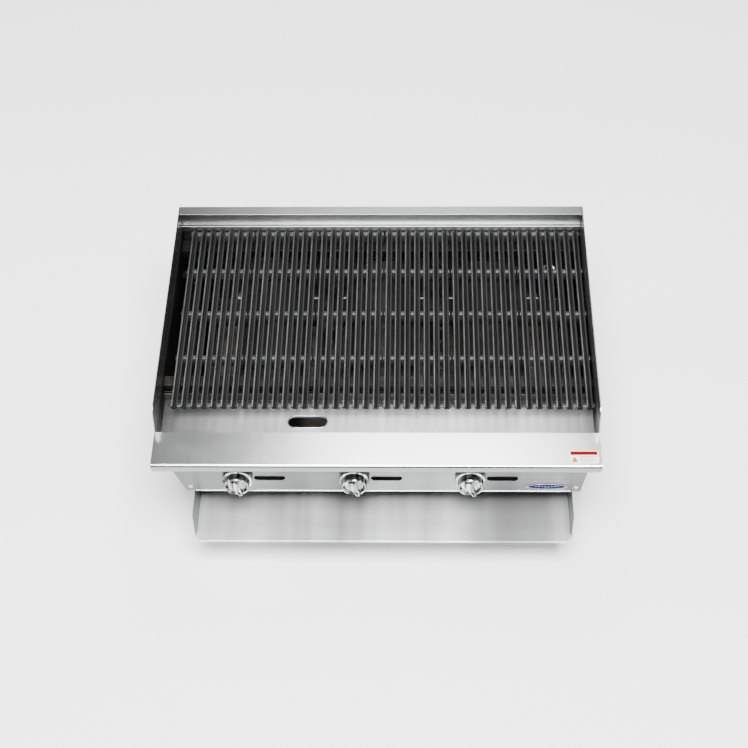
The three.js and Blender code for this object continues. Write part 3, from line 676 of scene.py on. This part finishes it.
def rim(name, outline, z, r, mat, sides=8):
    """Rolled rim of small radius round a level opening."""
    bm = bmesh.new()
    n = len(outline)
    rings = []
    for i, p in enumerate(outline):
        t = (Vector(outline[(i + 1) % n]) - Vector(outline[i - 1])).normalized()
        out = Vector((t.y, -t.x))
        rings.append([(*(Vector(p) + out * (r * math.cos(a))), z + r * math.sin(a)) for a in circle(sides)])
    loft(bm, rings, closed=True)
    piece(name, bm, mat, "body", smooth=60)


rim("grease_slot_rim", stadium(-0.147, at_depth(0.164), 0.0835, 0.0325), 0.283, 0.0011, STEEL)


def bead(name, a, b, r, mat, sides=10):
    """Straight bead of radius r from a to b."""
    bm = bmesh.new()
    t = (Vector(b) - Vector(a)).normalized()
    u = t.cross(Vector((0, 0, 1))).normalized()
    v = t.cross(u)
    loft(bm, [[Vector(p) + u * (r * math.cos(k)) + v * (r * math.sin(k)) for k in circle(sides)] for p in (a, b)])
    piece(name, bm, mat, "body", smooth=60)


panel_lo, panel_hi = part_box("control_panel")
fold_y, fold_z = panel_lo.y + 0.0006, panel_lo.z + 0.0016
# the fold takes the bright screw steel, not the panel's: a painted highlight along the panel's lower edge
bead("panel_lower_fold", (panel_lo.x + 0.001, fold_y, fold_z), (panel_hi.x - 0.001, fold_y, fold_z), 0.0015, SCREW)


# ---------- badge and label, both blank ----------
def badge():
    """Blue oval in a raised rim, with a row of blank raised dots."""
    lo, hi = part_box("badge")
    cx, cz = (lo.x + hi.x) / 2, (lo.z + hi.z) / 2
    half_w, half_h = (hi.x - lo.x) / 2, (hi.z - lo.z) / 2

    def oval(scale, inset=0.0):
        return [(cx + (half_w * scale - inset) * math.cos(t), cz + (half_h * scale - inset) * math.sin(t))
                for t in circle(56)]

    inset = 0.0006
    layers = ((hi.y, 0.985, 0), (hi.y - 0.0004, 1.0, 0), (lo.y + 0.0002, 1.0, 0), (lo.y, 0.985, 0),
              (lo.y, 0.93, inset), (lo.y + 0.0002, 0.91, inset))
    bm = bmesh.new()
    loft(bm, [[(u, y, v) for u, v in oval(scale, edge)] for y, scale, edge in layers], 1)
    loft(bm, [[(u, lo.y + rise, v) for u, v in oval(0.93, inset)] for rise in (0.0003, 0.00005)])
    for k in range(8):
        u = cx - 0.0235 + k * 0.0067
        v = cz + 0.0004 + 0.0012 * math.sin(k * 1.3)
        block(bm, (u - 0.0014, lo.y, v - 0.0012), (u + 0.0014, lo.y + 0.0002, v + 0.0012), 1)
    piece("oval_badge", bm, [BLUE, RIM], "body", replaces="badge", smooth=30)


def patch(bm, x0, x1, y0, y1, z, mat, r=0.0):
    """Thin level sheet with round corners."""
    pts = []
    for px, py, a0 in ((x1 - r, y1 - r, 0), (x0 + r, y1 - r, 90), (x0 + r, y0 + r, 180), (x1 - r, y0 + r, 270)):
        turn = [math.radians(a0 + k * 22.5) for k in range(5)]
        pts += [(px + r * math.cos(a), py + r * math.sin(a)) for a in turn] if r else [(px, py)]
    loft(bm, [[(u, v, z - 0.00035) for u, v in pts], [(u, v, z) for u, v in pts]], mat)


def label():
    """Pale label with a red band, a yellow triangle and blank grey lines."""
    lo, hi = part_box("rating_label")
    inks = hi.z - 0.00005
    bm = bmesh.new()
    patch(bm, lo.x, hi.x, lo.y, hi.y, hi.z - 0.0001, 0, 0.004)
    patch(bm, lo.x + 0.002, hi.x - 0.002, hi.y - 0.0115, hi.y - 0.002, inks, 1, 0.002)
    for k in range(4):
        y = hi.y - 0.0145 - k * 0.0042
        patch(bm, lo.x + 0.021, hi.x - 0.005 - 0.006 * (k % 2), y - 0.0012, y, inks, 3)
    foot = lo.y + 0.0035
    triangle = [(lo.x + 0.0035, foot), (lo.x + 0.0165, foot), (lo.x + 0.010, foot + 0.0145)]
    loft(bm, [[(u, v, z) for u, v in triangle] for z in (hi.z - 0.0004, hi.z)], 2)
    piece("plain_label", bm, [VINYL, RED, YELLOW, INK], "body", replaces="rating_label", smooth=30)


badge()
label()


# ---------- stage ----------
REACH = 14.0
me = bpy.data.meshes.new("floor")
me.from_pydata([(x * REACH, y * REACH, -0.0005) for x, y in ((-1, -1), (1, -1), (1, 1), (-1, 1))],
               [], [(0, 1, 2, 3)])
me.materials.append(Mat("floor", (0.97, 0.97, 0.97), 0.95).m)
floor = bpy.data.objects.new("floor", me)
bpy.context.scene.collection.objects.link(floor)

world = bpy.data.worlds.new("studio")
world.use_nodes = True
world.node_tree.nodes["Background"].inputs["Color"].default_value = (1, 1, 1, 1)
world.node_tree.nodes["Background"].inputs["Strength"].default_value = 0.3
bpy.context.scene.world = world


def softbox(name, at, toward, size, power):
    """Rectangular area light at a place, facing a point."""
    data = bpy.data.lights.new(name, "AREA")
    data.shape = "RECTANGLE"
    data.size, data.size_y = size
    data.energy = power
    o = bpy.data.objects.new(name, data)
    o.location = at
    o.rotation_mode = "QUATERNION"
    o.rotation_quaternion = (Vector(toward) - Vector(at)).to_track_quat("-Z", "Y")
    bpy.context.scene.collection.objects.link(o)


softbox("softbox_back", (0.16, 1.6, 3.3), (0.16, 1.599, 0.0), (1.1, 1.6), 62)
softbox("softbox_left", (-3.6, 0.2, 2.0), (0, 0, 0.3), (1.0, 1.4), 90)
softbox("softbox_right", (3.6, -1.2, 2.6), (0, 0, 0.3), (1.0, 1.0), 30)
softbox("softbox_front", (-0.8, -5.2, 3.0), (0, 0, 0.3), (2.6, 1.4), 60)
softbox("softbox_top", (0.3, -2.6, 5.6), (0, 0, 0.3), (3.0, 2.0), 1350)
